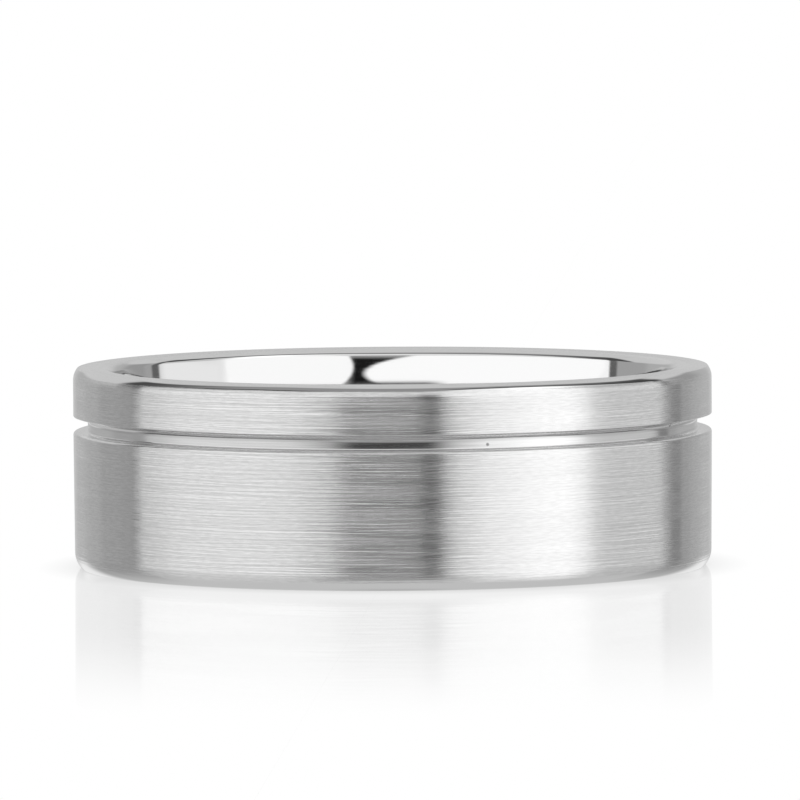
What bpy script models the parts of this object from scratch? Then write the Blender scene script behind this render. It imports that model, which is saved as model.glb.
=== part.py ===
"""A men's wedding band, made as one turned ring of platinum.

The ring is a solid of revolution about +Z and stands on its lower rim, with the origin on its axis in that
rim's plane. Its outside is flat, cut by one groove that sits nearer the upper rim, with a narrow land above
and a wide land below. The bore is a comfort fit: straight in the middle, and curving open towards both rims.
Each straight stretch of the ring's section has its own finish. Every rounding between two is polished.
"""

import math

import bmesh
import bpy
from mathutils import Matrix, Vector

MM = 0.001

# Driving dimensions of the whole ring.
OUTER_RADIUS = 11.2 * MM
RING_WIDTH = 7.0 * MM
BORE_RADIUS = 9.705 * MM  # of the bore's straight middle, which touches the finger: US size 9 1/2
MOUTH_FLARE = math.radians(10.0)  # how far the bore leans open by the time it reaches its inner edges
MOUTH_HEIGHT = 1.05 * MM  # from a rim to where the lines of the flare and of the straight middle cross
INNER_EDGE_ROUNDING = 0.30 * MM

# The groove. A round-nosed tool leaves its upper corner wide, and burnishing softens its lower lip.
UPPER_LAND_WIDTH = 1.68 * MM
GROOVE_WIDTH = 0.54 * MM
GROOVE_DEPTH = 0.51 * MM
UPPER_LIP_ROUNDING = 0.03 * MM
LOWER_LIP_ROUNDING = 0.10 * MM
UPPER_CORNER_ROUNDING = 0.28 * MM
LOWER_CORNER_ROUNDING = 0.06 * MM

# The outer edges: each is a bevel whose upright side is rounded into the land and whose rim side stays crisp.
UPPER_BEVEL_DEPTH = 0.146 * MM
UPPER_BEVEL_HEIGHT = 0.192 * MM
UPPER_BEVEL_ROUNDING = 0.64 * MM
LOWER_BEVEL_DEPTH = 0.23 * MM
LOWER_BEVEL_HEIGHT = 0.245 * MM
LOWER_BEVEL_ROUNDING = 0.78 * MM
RIM_ROUNDING = 0.03 * MM
LOWER_LAND_TAPER = 0.03 * MM  # brushing thins the wide land a little towards the lower rim

# How finely the round shapes are divided.
STEPS_AROUND = 80
STEPS_IN_ROUNDING = 4
TOUCHING = 0.001 * MM  # roundings that meet this closely share one point

SATIN, POLISHED = 0, 1  # the slots of the two finishes on the one piece of metal


def outside():
    """The corners of the outside, going up: (corner, rounding, finish of the straight stretch after it)."""
    groove_top = RING_WIDTH - UPPER_LAND_WIDTH
    groove_bottom = groove_top - GROOVE_WIDTH
    groove_floor = OUTER_RADIUS - GROOVE_DEPTH
    lower_edge = OUTER_RADIUS - LOWER_LAND_TAPER
    return [
        (Vector((lower_edge - LOWER_BEVEL_DEPTH, 0.0)), RIM_ROUNDING, POLISHED),
        (Vector((lower_edge, LOWER_BEVEL_HEIGHT)), LOWER_BEVEL_ROUNDING, SATIN),
        (Vector((OUTER_RADIUS, groove_bottom)), LOWER_LIP_ROUNDING, POLISHED),
        (Vector((groove_floor, groove_bottom)), LOWER_CORNER_ROUNDING, POLISHED),
        (Vector((groove_floor, groove_top)), UPPER_CORNER_ROUNDING, POLISHED),
        (Vector((OUTER_RADIUS, groove_top)), UPPER_LIP_ROUNDING, SATIN),
        (Vector((OUTER_RADIUS, RING_WIDTH - UPPER_BEVEL_HEIGHT)), UPPER_BEVEL_ROUNDING, POLISHED),
        (Vector((OUTER_RADIUS - UPPER_BEVEL_DEPTH, RING_WIDTH)), RIM_ROUNDING, SATIN),
    ]


def bore():
    """The corners of the bore, going down. Each mouth's rounding reaches to its inner edge's."""
    mouth = BORE_RADIUS + MOUTH_HEIGHT * math.tan(MOUTH_FLARE)
    edge_reach = INNER_EDGE_ROUNDING * math.tan((math.pi / 2 - MOUTH_FLARE) / 2)
    mouth_rounding = (MOUTH_HEIGHT / math.cos(MOUTH_FLARE) - edge_reach) / math.tan(MOUTH_FLARE / 2)
    return [
        (Vector((mouth, RING_WIDTH)), INNER_EDGE_ROUNDING, POLISHED),
        (Vector((BORE_RADIUS, RING_WIDTH - MOUTH_HEIGHT)), mouth_rounding, POLISHED),
        (Vector((BORE_RADIUS, MOUTH_HEIGHT)), mouth_rounding, POLISHED),
        (Vector((mouth, 0.0)), INNER_EDGE_ROUNDING, SATIN),
    ]


def rounded(corners):
    """The closed section as points, each with the finish of the stretch that starts there."""
    outline = []
    for index, (corner, rounding, finish) in enumerate(corners):
        arriving = (corner - corners[index - 1][0]).normalized()
        leaving = (corners[(index + 1) % len(corners)][0] - corner).normalized()
        turn = math.atan2(arriving.cross(leaving), arriving.dot(leaving))
        start = corner - arriving * rounding * math.tan(abs(turn) / 2)
        centre = start + Vector((-arriving.y, arriving.x)) * math.copysign(rounding, turn)
        for step in range(STEPS_IN_ROUNDING + 1):
            spoke = Matrix.Rotation(turn * step / STEPS_IN_ROUNDING, 2) @ (start - centre)
            if outline and (centre + spoke - outline[-1][0]).length < TOUCHING:
                outline.pop()
            outline.append((centre + spoke, POLISHED if step < STEPS_IN_ROUNDING else finish))
    return outline


def revolve(name, outline, finishes):
    """Turns a closed section, drawn anticlockwise as (radius, height), about +Z into one closed mesh."""
    bm = bmesh.new()
    turns = [math.tau * step / STEPS_AROUND for step in range(STEPS_AROUND)]
    hoops = [
        [bm.verts.new((point.x * math.cos(turn), point.x * math.sin(turn), point.y)) for turn in turns]
        for point, _ in outline
    ]
    for index, (_, finish) in enumerate(outline):
        here = hoops[index]
        beyond = hoops[(index + 1) % len(hoops)]
        for step in range(STEPS_AROUND):
            after = (step + 1) % STEPS_AROUND
            face = bm.faces.new((here[step], here[after], beyond[after], beyond[step]))
            face.material_index = finish
    mesh = bpy.data.meshes.new(name)
    bm.to_mesh(mesh)
    bm.free()
    mesh.shade_smooth()
    mesh.set_sharp_from_angle(angle=math.radians(40))
    for finish in finishes:
        mesh.materials.append(finish)
    ring = bpy.data.objects.new(name, mesh)
    bpy.context.scene.collection.objects.link(ring)
    return ring


def platinum(name, roughness):
    material = bpy.data.materials.new(name)
    material.use_nodes = True
    shader = material.node_tree.nodes["Principled BSDF"]
    shader.inputs["Base Color"].default_value = (0.78, 0.78, 0.77, 1.0)
    shader.inputs["Metallic"].default_value = 1.0
    shader.inputs["Roughness"].default_value = roughness
    return material


def clear_scene():
    for thing in list(bpy.data.objects):
        bpy.data.objects.remove(thing, do_unlink=True)


def main():
    clear_scene()
    finishes = [platinum("satin_platinum", 0.35), platinum("polished_platinum", 0.05)]
    revolve("band", rounded(outside() + bore()), finishes)


main()
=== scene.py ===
"""The looks of the wedding band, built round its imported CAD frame.

The one CAD node, a faceted ring, is replaced by the same section turned finely enough to mirror
cleanly. Its lands are brushed, its rims are satin, its groove is turned, and its bevels and bore are
polished. A photographer's white tent is drawn in the world shader, because polished metal shows nothing
but what stands round it.
"""
import math

import bmesh
import bpy
from mathutils import Matrix, Vector


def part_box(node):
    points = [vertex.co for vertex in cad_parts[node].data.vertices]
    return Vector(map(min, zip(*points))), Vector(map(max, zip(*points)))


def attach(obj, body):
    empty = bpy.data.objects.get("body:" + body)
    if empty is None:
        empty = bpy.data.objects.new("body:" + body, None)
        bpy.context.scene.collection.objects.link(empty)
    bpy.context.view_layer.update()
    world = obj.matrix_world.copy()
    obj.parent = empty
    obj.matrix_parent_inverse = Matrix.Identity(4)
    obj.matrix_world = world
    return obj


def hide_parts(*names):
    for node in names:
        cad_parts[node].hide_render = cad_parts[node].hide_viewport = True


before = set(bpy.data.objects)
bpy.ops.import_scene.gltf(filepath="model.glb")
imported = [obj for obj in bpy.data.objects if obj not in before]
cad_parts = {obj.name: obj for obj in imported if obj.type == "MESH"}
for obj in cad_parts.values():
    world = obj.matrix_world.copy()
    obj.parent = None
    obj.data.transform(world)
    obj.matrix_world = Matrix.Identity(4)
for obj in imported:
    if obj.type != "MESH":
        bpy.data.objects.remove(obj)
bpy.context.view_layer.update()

MM = 0.001
WHITE = (1.0, 1.0, 1.0, 1.0)

ring_low, ring_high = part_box("band")
OUTER_RADIUS = ring_high.x
RING_WIDTH = ring_high.z - ring_low.z

# The ring's section, as the CAD has it.
BORE_RADIUS = 9.705 * MM
MOUTH_FLARE = math.radians(10.0)
MOUTH_HEIGHT = 1.05 * MM
INNER_EDGE_ROUNDING = 0.30 * MM
UPPER_LAND_WIDTH = 1.68 * MM
GROOVE_WIDTH = 0.54 * MM
GROOVE_DEPTH = 0.51 * MM
UPPER_LIP_ROUNDING = 0.03 * MM
LOWER_LIP_ROUNDING = 0.10 * MM
UPPER_CORNER_ROUNDING = 0.28 * MM
LOWER_CORNER_ROUNDING = 0.06 * MM
UPPER_BEVEL_DEPTH = 0.146 * MM
UPPER_BEVEL_HEIGHT = 0.192 * MM
UPPER_BEVEL_ROUNDING = 0.64 * MM
LOWER_BEVEL_DEPTH = 0.23 * MM
LOWER_BEVEL_HEIGHT = 0.245 * MM
LOWER_BEVEL_ROUNDING = 0.78 * MM
RIM_ROUNDING = 0.03 * MM
LOWER_LAND_TAPER = 0.03 * MM

# How finely the ring is turned.
STEPS_AROUND = 480
TURN_PER_STEP = math.radians(6.0)
LONGEST_STEP = 0.25 * MM
TOUCHING = 0.0001 * MM  # points of the section that are closer than this are one point

# The finishes, in the order of the ring's material slots.
LAND, RIM, POLISHED, GROOVE = range(4)
PLATINUM = (0.80, 0.80, 0.80, 1.0)

# The sizes of the brushed streaks and of the tool's marks, each as (length, width).
FINE_STREAKS = (1.8 * MM, 0.045 * MM)
LONG_STREAKS = (5.0 * MM, 0.075 * MM)
COARSE_STREAKS = (6.0 * MM, 0.35 * MM)
GRAIN = (0.3 * MM, 0.045 * MM)
TOOL_MARKS = (3.0 * MM, 0.10 * MM)
QUARTER_TURN = 0.25  # as the shader counts it: the shine spreads across the streaks

# How deep each finish's marks are.
LAND_RELIEF = 0.0058 * MM
RIM_RELIEF = 0.0003 * MM
POLISH_RELIEF = 0.00015 * MM
GROOVE_RELIEF = 0.003 * MM

# The noise's values between which a finish's roughness and its grain change.
ROUGHNESS_NOISE = (0.3, 0.7)
GRAIN_NOISE = (0.2, 0.8)

# Past this many mirrors, the metal glows with a painted reflection of the tent's usual brightness.
LAST_MIRRORED = 3.5
DEEP_GLOW = 0.6

# The groove's pits: the size of their cells, the share of cells with a pit, and a pit's reach in cells.
PIT_SPACING = 0.8 * MM
PITTED_SHARE = 0.06
PIT_REACH = 0.10
PIT_COLOUR = (0.30, 0.30, 0.30, 1.0)

# The tent, as brightness against plain white.
BACKDROP = 0.58
ROOF = 0.67
SHADOWED_FLOOR = 0.63
FLOOR_BEHIND = 0.92
# Painted shade: the ring's shadow on the floor straight under it.
SHADED_FLOOR_UNDER_THE_RING = 0.52
FLOOR_MIRROR = 0.84
SLOT_STRIP = 0.06
SLOT_STRIP_HEIGHT = 5.0
ELLIPSE_EDGE = (0.93, 1.07)  # it fades between these shares of its size, squared

# The floor: where its mirror starts and stops fading, its strength, and how far the ring's shade goes.
FLOOR_RADIUS = 8.0
FLOOR_SIDES = 128
FLOOR_GAP = 0.01 * MM
FADE_START = 24 * MM
FADE_END = 57 * MM
SHINE = 0.42
ACRYLIC_IOR = 1.49
SHADE_REACH = 1.5 * MM
DARKEST_SHADE = 0.7

# The camera.
CAMERA_DISTANCE = 369.4 * MM
CAMERA_ELEVATION = math.radians(4.157)
CAMERA_ROLL = math.radians(0.33)
AIM_FROM_CENTRE = Vector((0.265 * MM, 0.0, 2.30 * MM))
FOCAL_LENGTH = 473.4
SENSOR_WIDTH = 36.0
NEAREST_SEEN = 0.05
FURTHEST_SEEN = 50.0


# ---------------------------------------------------------------- the ring


def outside():
    """The corners of the outside, going up: (corner, rounding, finish after the rounding's middle)."""
    groove_top = RING_WIDTH - UPPER_LAND_WIDTH
    groove_bottom = groove_top - GROOVE_WIDTH
    groove_floor = OUTER_RADIUS - GROOVE_DEPTH
    lower_edge = OUTER_RADIUS - LOWER_LAND_TAPER
    return [
        (Vector((lower_edge - LOWER_BEVEL_DEPTH, 0.0)), RIM_ROUNDING, POLISHED),
        (Vector((lower_edge, LOWER_BEVEL_HEIGHT)), LOWER_BEVEL_ROUNDING, LAND),
        (Vector((OUTER_RADIUS, groove_bottom)), LOWER_LIP_ROUNDING, GROOVE),
        (Vector((groove_floor, groove_bottom)), LOWER_CORNER_ROUNDING, GROOVE),
        (Vector((groove_floor, groove_top)), UPPER_CORNER_ROUNDING, GROOVE),
        (Vector((OUTER_RADIUS, groove_top)), UPPER_LIP_ROUNDING, LAND),
        (Vector((OUTER_RADIUS, RING_WIDTH - UPPER_BEVEL_HEIGHT)), UPPER_BEVEL_ROUNDING, POLISHED),
        (Vector((OUTER_RADIUS - UPPER_BEVEL_DEPTH, RING_WIDTH)), RIM_ROUNDING, RIM),
    ]


def bore():
    """The corners of the bore, going down. Each mouth's rounding starts where the inner edge's ends."""
    mouth = BORE_RADIUS + MOUTH_HEIGHT * math.tan(MOUTH_FLARE)
    edge_reach = INNER_EDGE_ROUNDING * math.tan((math.pi / 2 - MOUTH_FLARE) / 2)
    mouth_rounding = (MOUTH_HEIGHT / math.cos(MOUTH_FLARE) - edge_reach) / math.tan(MOUTH_FLARE / 2)
    return [
        (Vector((mouth, RING_WIDTH)), INNER_EDGE_ROUNDING, POLISHED),
        (Vector((BORE_RADIUS, RING_WIDTH - MOUTH_HEIGHT)), mouth_rounding, POLISHED),
        (Vector((BORE_RADIUS, MOUTH_HEIGHT)), mouth_rounding, POLISHED),
        (Vector((mouth, 0.0)), INNER_EDGE_ROUNDING, RIM),
    ]


def direction_after(corners, index):
    """The direction of the straight stretch that leaves this corner."""
    corner = corners[index % len(corners)][0]
    following = corners[(index + 1) % len(corners)][0]
    return (following - corner).normalized()


def turn_at(corners, index):
    """The angle that the section turns through at this corner, positive to the left."""
    arriving = direction_after(corners, index - 1)
    leaving = direction_after(corners, index)
    return math.atan2(arriving.cross(leaving), arriving.dot(leaving))


def reach_of(corners, index):
    """How far this corner's rounding reaches along the stretches on either side."""
    rounding = corners[index % len(corners)][1]
    return rounding * math.tan(abs(turn_at(corners, index)) / 2)


def outward(direction):
    """The side of a stretch that faces out of the metal, since the section is drawn anticlockwise."""
    return Vector((direction.y, -direction.x))


def add_point(outline, point, normal, finish):
    """Adds a point of the section, or replaces the last one if it is already there."""
    if outline and (point - outline[-1][0]).length < TOUCHING:
        outline.pop()
    outline.append((point, normal, finish))


def add_rounding(outline, corners, index):
    """Adds one corner's rounding, whose first half has the finish of the stretch before it."""
    corner, rounding, finish = corners[index]
    earlier_finish = corners[index - 1][2]
    arriving = direction_after(corners, index - 1)
    turn = turn_at(corners, index)
    start = corner - arriving * reach_of(corners, index)
    centre = start - outward(arriving) * math.copysign(rounding, turn)
    steps_by_turn = math.ceil(abs(turn) / TURN_PER_STEP)
    steps_by_length = math.ceil(abs(turn) * rounding / LONGEST_STEP)
    steps = max(2, steps_by_turn, steps_by_length)
    for step in range(steps + 1):
        rotation = Matrix.Rotation(turn * step / steps, 2)
        half = earlier_finish if step < steps / 2 else finish
        add_point(outline, centre + rotation @ (start - centre), outward(rotation @ arriving), half)


def add_straight(outline, corners, index):
    """Adds the points between one corner's rounding and the next one's."""
    corner, _, finish = corners[index]
    following = corners[(index + 1) % len(corners)][0]
    leaving = direction_after(corners, index)
    start = corner + leaving * reach_of(corners, index)
    end = following - leaving * reach_of(corners, index + 1)
    pieces = max(1, math.ceil((end - start).length / LONGEST_STEP))
    for piece in range(1, pieces):
        add_point(outline, start.lerp(end, piece / pieces), outward(leaving), finish)


def section(corners):
    """The closed section as (point, outward normal, finish of the stretch that starts there)."""
    outline = []
    for index in range(len(corners)):
        add_rounding(outline, corners, index)
        add_straight(outline, corners, index)
    return outline


def turned(across, height, turn):
    """The direction or place at this distance from the axis and this height, turned about +Z."""
    return (across * math.cos(turn), across * math.sin(turn), height)


def revolve(name, outline, finishes):
    """Turns the section about +Z into one closed mesh, shaded with the section's own exact normals."""
    bm = bmesh.new()
    turns = [math.tau * step / STEPS_AROUND for step in range(STEPS_AROUND)]
    hoops = []
    for point, _, _ in outline:
        hoops.append([bm.verts.new(turned(point.x, ring_low.z + point.y, turn)) for turn in turns])
    for index, (_, _, finish) in enumerate(outline):
        here = hoops[index]
        beyond = hoops[(index + 1) % len(hoops)]
        for step in range(STEPS_AROUND):
            after = (step + 1) % STEPS_AROUND
            face = bm.faces.new((here[step], here[after], beyond[after], beyond[step]))
            face.material_index = finish
    mesh = bpy.data.meshes.new(name)
    bm.to_mesh(mesh)
    bm.free()
    mesh.shade_smooth()
    normals = [turned(normal.x, normal.y, turn) for _, normal, _ in outline for turn in turns]
    mesh.normals_split_custom_set_from_vertices(normals)
    for finish in finishes:
        mesh.materials.append(finish)
    ring = bpy.data.objects.new(name, mesh)
    bpy.context.scene.collection.objects.link(ring)
    return ring


# ---------------------------------------------------------------- materials


class Nodes:
    """Adds nodes to a tree and joins them, so that a material reads from top to bottom."""

    def __init__(self, tree):
        self.tree = tree
        tree.nodes.clear()

    def add(self, kind, inputs=None, **settings):
        """Adds a node. Each input, by name or number, takes a value or another node's output."""
        node = self.tree.nodes.new(kind)
        for name, value in settings.items():
            setattr(node, name, value)
        for name, value in (inputs or {}).items():
            self.set(node.inputs[name], value)
        return node

    def set(self, socket, value):
        if isinstance(value, bpy.types.NodeSocket):
            self.tree.links.new(value, socket)
        else:
            socket.default_value = value

    def math(self, operation, *values):
        node = self.add("ShaderNodeMath", operation=operation)
        for socket, value in zip(node.inputs, values):
            self.set(socket, value)
        return node.outputs[0]

    def product(self, first, second):
        return self.math("MULTIPLY", first, second)

    def sum(self, first, second):
        return self.math("ADD", first, second)

    def difference(self, first, second):
        return self.math("SUBTRACT", first, second)

    def blend(self, factor, first, second):
        """first where the factor is 0 and second where it is 1."""
        inputs = {"Factor": factor, "A": first, "B": second}
        return self.add("ShaderNodeMix", inputs, data_type="FLOAT").outputs["Result"]

    def blend_colour(self, factor, first, second):
        """The same for two colours, whose sockets are 6 and 7: by name, the node finds other ones."""
        inputs = {"Factor": factor, 6: first, 7: second}
        return self.add("ShaderNodeMix", inputs, data_type="RGBA").outputs[2]

    def grey(self, value):
        inputs = {"Red": value, "Green": value, "Blue": value}
        return self.add("ShaderNodeCombineColor", inputs).outputs["Color"]

    def mix_shader(self, factor, first, second):
        inputs = {0: factor, 1: first.outputs[0], 2: second.outputs[0]}
        return self.add("ShaderNodeMixShader", inputs)

    def ramp(self, value, low, high, to_low=0.0, to_high=1.0, smooth=True):
        """value from low..high mapped on to to_low..to_high, held at both ends."""
        inputs = {"Value": value, "From Min": low, "From Max": high, "To Min": to_low, "To Max": to_high}
        return self.add(
            "ShaderNodeMapRange", inputs, interpolation_type="SMOOTHSTEP" if smooth else "LINEAR"
        ).outputs["Result"]


def lathe_position(nodes, along, across):
    """A position for patterns that run round the ring, scaled by along round the ring and by across
    over the section. It has no seam, since it is the object's own position with the height stretched."""
    position = nodes.add("ShaderNodeTexCoord").outputs["Object"]
    x, y, z = nodes.add("ShaderNodeSeparateXYZ", {"Vector": position}).outputs
    radius = nodes.math("SQRT", nodes.sum(nodes.product(x, x), nodes.product(y, y)))
    inputs = {
        "X": nodes.product(x, along),
        "Y": nodes.product(y, along),
        "Z": nodes.product(nodes.sum(z, radius), across),
    }
    return nodes.add("ShaderNodeCombineXYZ", inputs).outputs[0]


def streaks(nodes, size, detail=0.0):
    """Noise of 0..1 drawn out round the ring into streaks of about this length and width."""
    length, width = size
    inputs = {"Vector": lathe_position(nodes, 1 / length, 1 / width), "Scale": 1.0, "Detail": detail}
    return nodes.add("ShaderNodeTexNoise", inputs).outputs["Fac"]


def new_material(name):
    material = bpy.data.materials.new(name)
    material.use_nodes = True
    return material, Nodes(material.node_tree)


def brushed_platinum(name, roughness, anisotropy, relief, contrast):
    """Platinum brushed round the ring: streaks of three sizes, and a shine that spreads across them."""
    material, nodes = new_material(name)
    fine = streaks(nodes, FINE_STREAKS)
    long = streaks(nodes, LONG_STREAKS)
    coarse = streaks(nodes, COARSE_STREAKS)
    height = nodes.product(nodes.sum(nodes.sum(fine, long), coarse), relief)
    bump = nodes.add("ShaderNodeBump", {"Strength": 1.0, "Distance": 1.0, "Height": height})
    darkest = PLATINUM[0] - contrast
    lightest = PLATINUM[0] + contrast
    grain = nodes.ramp(streaks(nodes, GRAIN), *GRAIN_NOISE, darkest, lightest)
    shader = nodes.add("ShaderNodeBsdfPrincipled", {
        "Base Color": nodes.grey(grain),
        "Metallic": 1.0,
        "Roughness": nodes.ramp(coarse, *ROUGHNESS_NOISE, roughness * 0.85, roughness * 1.15),
        "Anisotropic": anisotropy,
        "Anisotropic Rotation": QUARTER_TURN,
        "Tangent": nodes.add("ShaderNodeTangent", direction_type="RADIAL", axis="Z").outputs[0],
        "Normal": bump.outputs[0],
    })
    nodes.add("ShaderNodeOutputMaterial", {"Surface": shader.outputs[0]})
    return material


def smooth_platinum(name, roughness, relief, pits=False):
    """Platinum left smooth by a wheel or a cutter, with the tool's faint marks round the ring. Deep in
    its mirrors of mirrors it glows with a painted reflection of the tent's usual light, where the
    renderer would show black."""
    material, nodes = new_material(name)
    marks = streaks(nodes, TOOL_MARKS, detail=2.0)
    bump = nodes.add("ShaderNodeBump", {"Strength": 1.0, "Distance": relief, "Height": marks})
    shader = nodes.add("ShaderNodeBsdfPrincipled", {
        "Base Color": pitted(nodes) if pits else PLATINUM,
        "Metallic": 1.0,
        "Roughness": nodes.ramp(marks, *ROUGHNESS_NOISE, roughness * 0.7, roughness * 1.3),
        "Normal": bump.outputs[0],
    })
    # Painted reflection: a glow of the tent's usual light, used once a ray has met more mirrors than
    # LAST_MIRRORED.
    glow = nodes.add("ShaderNodeEmission", {"Color": PLATINUM, "Strength": DEEP_GLOW})
    bounces = nodes.add("ShaderNodeLightPath").outputs["Ray Depth"]
    surface = nodes.mix_shader(nodes.math("GREATER_THAN", bounces, LAST_MIRRORED), shader, glow)
    nodes.add("ShaderNodeOutputMaterial", {"Surface": surface.outputs[0]})
    return material


def pitted(nodes):
    """The platinum's colour with a few dark pits, each in its own cell of a pattern of cells."""
    place = lathe_position(nodes, 1 / PIT_SPACING, 1 / PIT_SPACING)
    cells = nodes.add("ShaderNodeTexVoronoi", {"Vector": place, "Scale": 1.0}).outputs
    chance = nodes.add("ShaderNodeSeparateXYZ", {"Vector": cells["Color"]}).outputs[0]
    chosen = nodes.math("LESS_THAN", chance, PITTED_SHARE)
    depth = nodes.ramp(cells["Distance"], PIT_REACH / 2, PIT_REACH, 1.0, 0.0)
    return nodes.blend_colour(nodes.product(chosen, depth), PLATINUM, PIT_COLOUR)


# ---------------------------------------------------------------- studio


class Studio:
    """The tent round the ring, drawn in the world shader by azimuth and elevation in degrees. Azimuth 0
    is the camera's side and 90 is on the camera's right, wherever the camera stands."""

    def __init__(self, nodes):
        self.nodes = nodes
        direction = nodes.add("ShaderNodeTexCoord").outputs["Generated"]
        east, north, up = nodes.add("ShaderNodeSeparateXYZ", {"Vector": direction}).outputs
        ahead = nodes.add(
            "ShaderNodeVectorTransform",
            {"Vector": (0.0, 0.0, 1.0)},
            vector_type="VECTOR",
            convert_from="CAMERA",
            convert_to="WORLD",
        ).outputs[0]
        ahead_east, ahead_north, _ = nodes.add("ShaderNodeSeparateXYZ", {"Vector": ahead}).outputs
        to_right = nodes.difference(nodes.product(east, ahead_north), nodes.product(north, ahead_east))
        to_back = nodes.sum(nodes.product(east, ahead_east), nodes.product(north, ahead_north))
        to_front = nodes.product(to_back, -1.0)
        self.azimuth = nodes.math("DEGREES", nodes.math("ARCTAN2", to_right, to_front))
        self.elevation = nodes.math("DEGREES", nodes.math("ARCSINE", up))
        self.sideways = nodes.math("ABSOLUTE", self.azimuth)
        self.light = BACKDROP

    def inside(self, value, low, high, low_softness, high_softness):
        """1 where value lies between low and high, falling to 0 across a softness at either end."""
        rise = self.nodes.ramp(value, low - low_softness / 2, low + low_softness / 2)
        fall = self.nodes.ramp(value, high - high_softness / 2, high + high_softness / 2, 1.0, 0.0)
        return self.nodes.product(rise, fall)

    def cover(self, where, brightness):
        """Puts something of this brightness in front of what is there already, where the mask is 1."""
        self.light = self.nodes.blend(where, self.light, brightness)

    def panel(self, azimuths, elevations, brightness, edges):
        """Hangs a panel. edges holds the softness of its left, right, bottom and top."""
        across = self.inside(self.azimuth, *azimuths, *edges[:2])
        upright = self.inside(self.elevation, *elevations, *edges[2:])
        self.cover(self.nodes.product(across, upright), brightness)

    def wall(self, azimuths, brightness, left_edge, right_edge):
        """A panel from below the floor to the roof."""
        self.panel(azimuths, (-95, 80), brightness, (left_edge, right_edge, 2, 2))

    def slot(self, top, height, brightness, softness):
        """A gap under the roof, whose top, height and brightness may change round the tent."""
        below_top = self.nodes.difference(top, self.elevation)
        opens = self.nodes.ramp(below_top, -softness / 2, softness / 2)
        past_bottom = self.nodes.difference(below_top, height)
        closes = self.nodes.ramp(past_bottom, -softness / 2, softness / 2, 1.0, 0.0)
        self.cover(self.nodes.product(opens, closes), brightness)

    def ellipse(self, centre, half_width, half_height, brightness):
        nodes = self.nodes
        azimuth, elevation = centre
        across = nodes.product(nodes.difference(self.azimuth, azimuth), 1 / half_width)
        upright = nodes.product(nodes.difference(self.elevation, elevation), 1 / half_height)
        squares = nodes.sum(nodes.product(across, across), nodes.product(upright, upright))
        self.cover(nodes.ramp(squares, *ELLIPSE_EDGE, 1.0, 0.0), brightness)


def draw_walls(studio):
    """The tent's walls, from the back round to the front, then what hangs before them."""
    studio.wall((-165, 165), 0.48, 14, 14)
    studio.wall((-132, 136), 0.41, 8, 8)
    studio.wall((-107, 118), 0.64, 4, 6)
    studio.wall((-93, 81), 0.84, 22, 14)
    studio.wall((34, 76), 1.22, 34, 10)
    # A bright panel at each side, whose ends show in the bore, and a grey one behind on the right.
    studio.panel((76, 114), (0, 13), 0.98, (8, 10, 3, 8))
    studio.panel((-104, -66), (1.5, 15), 1.12, (2, 26, 3, 4))
    studio.panel((126, 148), (3, 22), 0.36, (4, 16, 3, 6))
    # The key light on the right, the dimmer front, and a bright strip above the camera.
    studio.panel((50, 69), (-60, 44), 1.42, (16, 8, 30, 16))
    studio.panel((-38, 28), (-60, 25), 0.66, (36, 20, 10, 6))
    studio.panel((-50, 40), (27, 40), 1.08, (20, 20, 6, 4))


def draw_floor(studio):
    """What the ring sees of the floor: it mirrors the walls, darker, near the horizon. It is plain
    below, with painted shade straight under the ring, and brightest behind the ring."""
    nodes = studio.nodes
    below_horizon = nodes.ramp(studio.elevation, -3, -7)
    studio.cover(below_horizon, nodes.product(studio.light, FLOOR_MIRROR))
    studio.cover(nodes.ramp(studio.elevation, -16, -52), SHADOWED_FLOOR)
    behind = nodes.ramp(studio.sideways, 142, 160)
    studio.cover(nodes.product(behind, nodes.ramp(studio.elevation, -4, -12)), FLOOR_BEHIND)
    # Painted shade: the floor straight under the ring is darker, as if the ring shadows it.
    studio.cover(nodes.ramp(studio.elevation, -74, -90), SHADED_FLOOR_UNDER_THE_RING)


def draw_flags(studio):
    """A black flag leans forwards on either side. Each is drawn as a lower and an upper half."""
    studio.panel((-115, -107.5), (-14, 1), 0.36, (3, 3, 6, 2))
    studio.panel((-108.5, -103.5), (1, 30), 0.14, (2, 2, 2, 10))
    studio.panel((120.5, 128), (-14, 1), 0.24, (3, 3, 6, 2))
    studio.panel((114.5, 120), (1, 30), 0.14, (2, 2, 2, 10))


def draw_roof(studio):
    """The roof, and the slot between it and the walls. The slot comes down towards the back and ends
    there, it gapes on the left, and its lower edge is a darker strip except at the front."""
    nodes = studio.nodes
    top = nodes.ramp(studio.sideways, 52, 122, 59, 34)
    height = nodes.ramp(studio.azimuth, 5, 40, 23, 13)
    shade = nodes.ramp(studio.sideways, 60, 115, 0.33, 0.08)
    closed = nodes.ramp(studio.sideways, 116, 124)
    studio.cover(nodes.ramp(nodes.difference(studio.elevation, top), -2, 2), ROOF)
    studio.slot(top, height, nodes.blend(closed, shade, ROOF), 5)
    strip_top = nodes.difference(top, nodes.difference(height, SLOT_STRIP_HEIGHT))
    no_strip = nodes.math("MAXIMUM", closed, nodes.ramp(studio.sideways, 12, 40, 1.0, 0.0))
    studio.slot(strip_top, SLOT_STRIP_HEIGHT, nodes.blend(no_strip, SLOT_STRIP, studio.light), 2)


def draw_opening(studio):
    """The camera's black opening, between the ends of two bright panels, and its shadow on the floor."""
    studio.panel((-8, 20), (0, 16), 0.01, (5, 10, 3, 3))
    studio.ellipse((45.5, 11.2), 29, 14, 1.18)
    studio.ellipse((-44.5, 8.4), 56.2, 10.2, 1.20)
    studio.panel((-26, 20.5), (-32, 0), 0.30, (28, 10, 12, 3))
    studio.panel((-19, 16), (-9, 4.5), 0.06, (12, 7, 4, 2))


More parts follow.
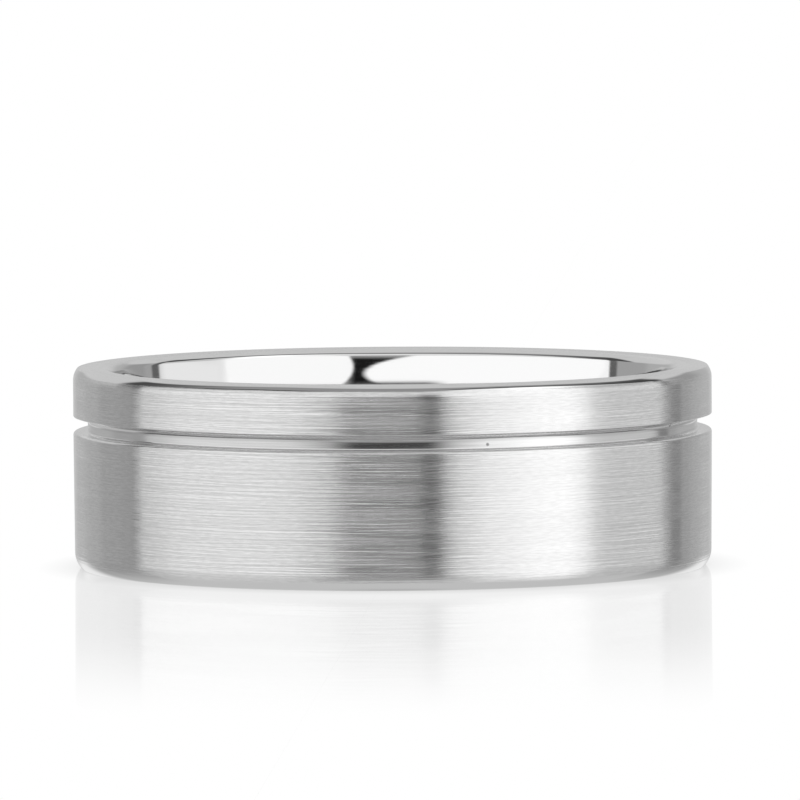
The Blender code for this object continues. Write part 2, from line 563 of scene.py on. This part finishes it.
def studio_world():
    world = bpy.data.worlds.new("studio")
    bpy.context.scene.world = world
    world.use_nodes = True
    nodes = Nodes(world.node_tree)
    studio = Studio(nodes)
    draw_walls(studio)
    draw_floor(studio)
    draw_flags(studio)
    draw_roof(studio)
    draw_opening(studio)

    # The camera sees plain white behind the ring. So does the floor, the only perfectly sharp mirror.
    path = nodes.add("ShaderNodeLightPath").outputs
    plain = nodes.math("MAXIMUM", path["Is Camera Ray"], path["Is Singular Ray"])
    light = nodes.blend(plain, studio.light, 1.0)
    background = nodes.add("ShaderNodeBackground", {"Color": WHITE, "Strength": light})
    nodes.add("ShaderNodeOutputWorld", {"Surface": background.outputs[0]})


def acrylic():
    """White acrylic. Close to the ring it is faintly a mirror, most at a low angle, and the ring shades
    it. Further out it is plain white. Only the camera sees it: the ring's view of it is in the world."""
    material, nodes = new_material("white_acrylic")
    position = nodes.add("ShaderNodeTexCoord").outputs["Object"]
    distance = nodes.add("ShaderNodeVectorMath", {0: position}, operation="LENGTH").outputs["Value"]
    glance = nodes.add("ShaderNodeFresnel", {"IOR": ACRYLIC_IOR}).outputs[0]
    shine = nodes.product(nodes.ramp(distance, FADE_START, FADE_END, SHINE, 0.0), glance)
    openness = nodes.add("ShaderNodeAmbientOcclusion", {"Distance": SHADE_REACH}, samples=8)
    shade = nodes.ramp(openness.outputs["AO"], 0.0, 1.0, DARKEST_SHADE, 1.0, smooth=False)
    white = nodes.add("ShaderNodeEmission", {"Color": WHITE, "Strength": shade})
    mirror = nodes.add("ShaderNodeBsdfGlossy", {"Color": WHITE, "Roughness": 0.0})
    unseen = nodes.add("ShaderNodeBsdfTransparent", {"Color": WHITE})
    seen = nodes.add("ShaderNodeLightPath").outputs["Is Camera Ray"]
    surface = nodes.mix_shader(seen, unseen, nodes.mix_shader(shine, white, mirror))
    nodes.add("ShaderNodeOutputMaterial", {"Surface": surface.outputs[0]})
    return material


def floor():
    bpy.ops.mesh.primitive_circle_add(vertices=FLOOR_SIDES, radius=FLOOR_RADIUS, fill_type="NGON")
    sheet = bpy.context.object
    sheet.name = "floor"
    sheet.location.z = ring_low.z - FLOOR_GAP
    sheet.data.materials.append(acrylic())


def camera():
    """A long lens a little above the ring, at the photograph's angle, with the ring low in view."""
    centre = (ring_low + ring_high) / 2
    aim = centre + AIM_FROM_CENTRE
    data = bpy.data.cameras.new("camera")
    data.sensor_width = SENSOR_WIDTH
    data.lens = FOCAL_LENGTH
    data.clip_start = NEAREST_SEEN
    data.clip_end = FURTHEST_SEEN
    eye = bpy.data.objects.new("camera", data)
    towards_eye = Vector((0.0, -math.cos(CAMERA_ELEVATION), math.sin(CAMERA_ELEVATION)))
    eye.location = centre + CAMERA_DISTANCE * towards_eye
    upright = (aim - eye.location).to_track_quat("-Z", "Y").to_matrix()
    eye.rotation_euler = (upright @ Matrix.Rotation(-CAMERA_ROLL, 3, "Z")).to_euler()
    bpy.context.scene.collection.objects.link(eye)
    bpy.context.scene.camera = eye


def main():
    finishes = [
        brushed_platinum("brushed_land", roughness=0.19, anisotropy=1.0, relief=LAND_RELIEF, contrast=0.03),
        brushed_platinum("satin_rim", roughness=0.18, anisotropy=0.8, relief=RIM_RELIEF, contrast=0.02),
        smooth_platinum("polished_platinum", roughness=0.045, relief=POLISH_RELIEF),
        smooth_platinum("turned_groove", roughness=0.12, relief=GROOVE_RELIEF, pits=True),
    ]
    ring = revolve("ring", section(outside() + bore()), finishes)
    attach(ring, "root")
    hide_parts("band")
    studio_world()
    floor()
    camera()
    bpy.context.scene.view_settings.view_transform = "Standard"


main()
